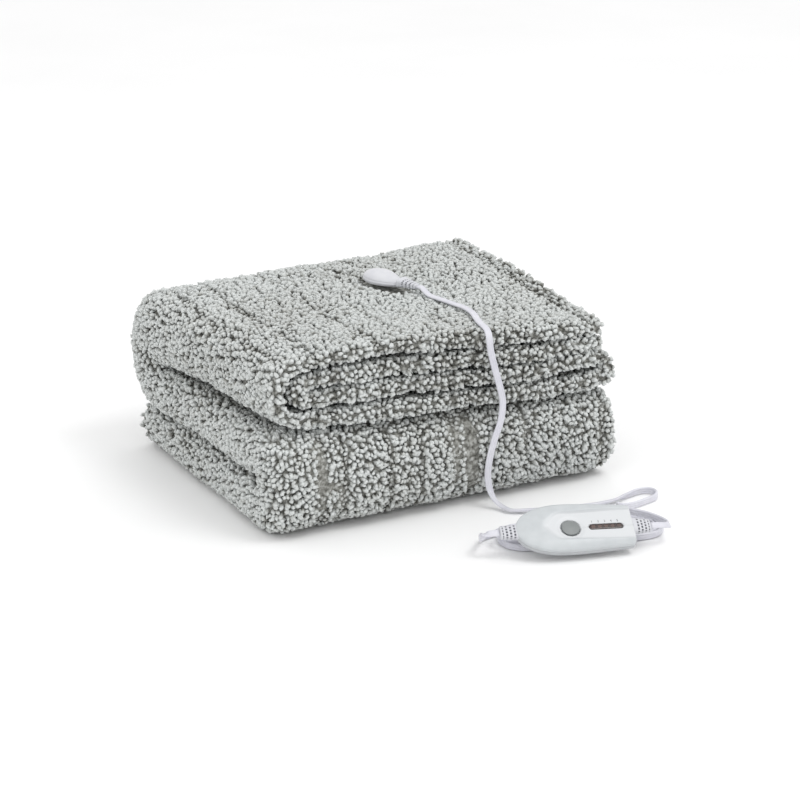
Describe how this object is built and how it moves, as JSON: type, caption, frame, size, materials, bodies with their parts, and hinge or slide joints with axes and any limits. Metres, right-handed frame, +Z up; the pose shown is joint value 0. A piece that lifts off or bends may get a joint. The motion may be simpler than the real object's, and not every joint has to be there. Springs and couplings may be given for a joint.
{
  "type": "electric heated blanket",
  "caption": "Folded long-pile electric heated blanket, a thick uneven stack, with plug-in connector, flat cord, tilted hand controller and wound mains lead with plug",
  "frame": {"origin": "middle of the folded stack's underside, on the surface it rests on", "axes": "+X along the stack's front edge to its right, +Y from its front to its back, +Z up; metres"},
  "size_m": [0.4062, 0.5113, 0.193],
  "materials": {
    "sherpa": "long curly pile, dark at the roots and pale at the tips",
    "white_plastic": "smooth satin",
    "cord": "soft ribbed vinyl",
    "grey_plastic": "soft matte",
    "dark_window": "smoked",
    "blade_metal": "plain"
  },
  "bodies": {
    "stack": {"blanket": "sherpa", "connector": "white_plastic", "connector_relief": "white_plastic", "lead_cord": "cord", "controller_base": "white_plastic", "controller_cover": "white_plastic", "light_window": "dark_window", "controller_end_relief": "white_plastic", "controller_nose_relief": "white_plastic", "nose_cord": "cord", "hank": "cord", "plug_cord": "cord", "plug_relief": "white_plastic", "plug_body": "white_plastic", "plug_blade_a": "blade_metal", "plug_blade_b": "blade_metal"},
    "push_button": {"button": "grey_plastic"}
  },
  "joints": [
    {"name": "button_press", "type": "slide", "parent": "stack", "child": "push_button", "axis": [0.134, 0.5285, -0.8383], "range_m": [0, 0.001], "stiffness_N_per_m": 400}
  ]
}
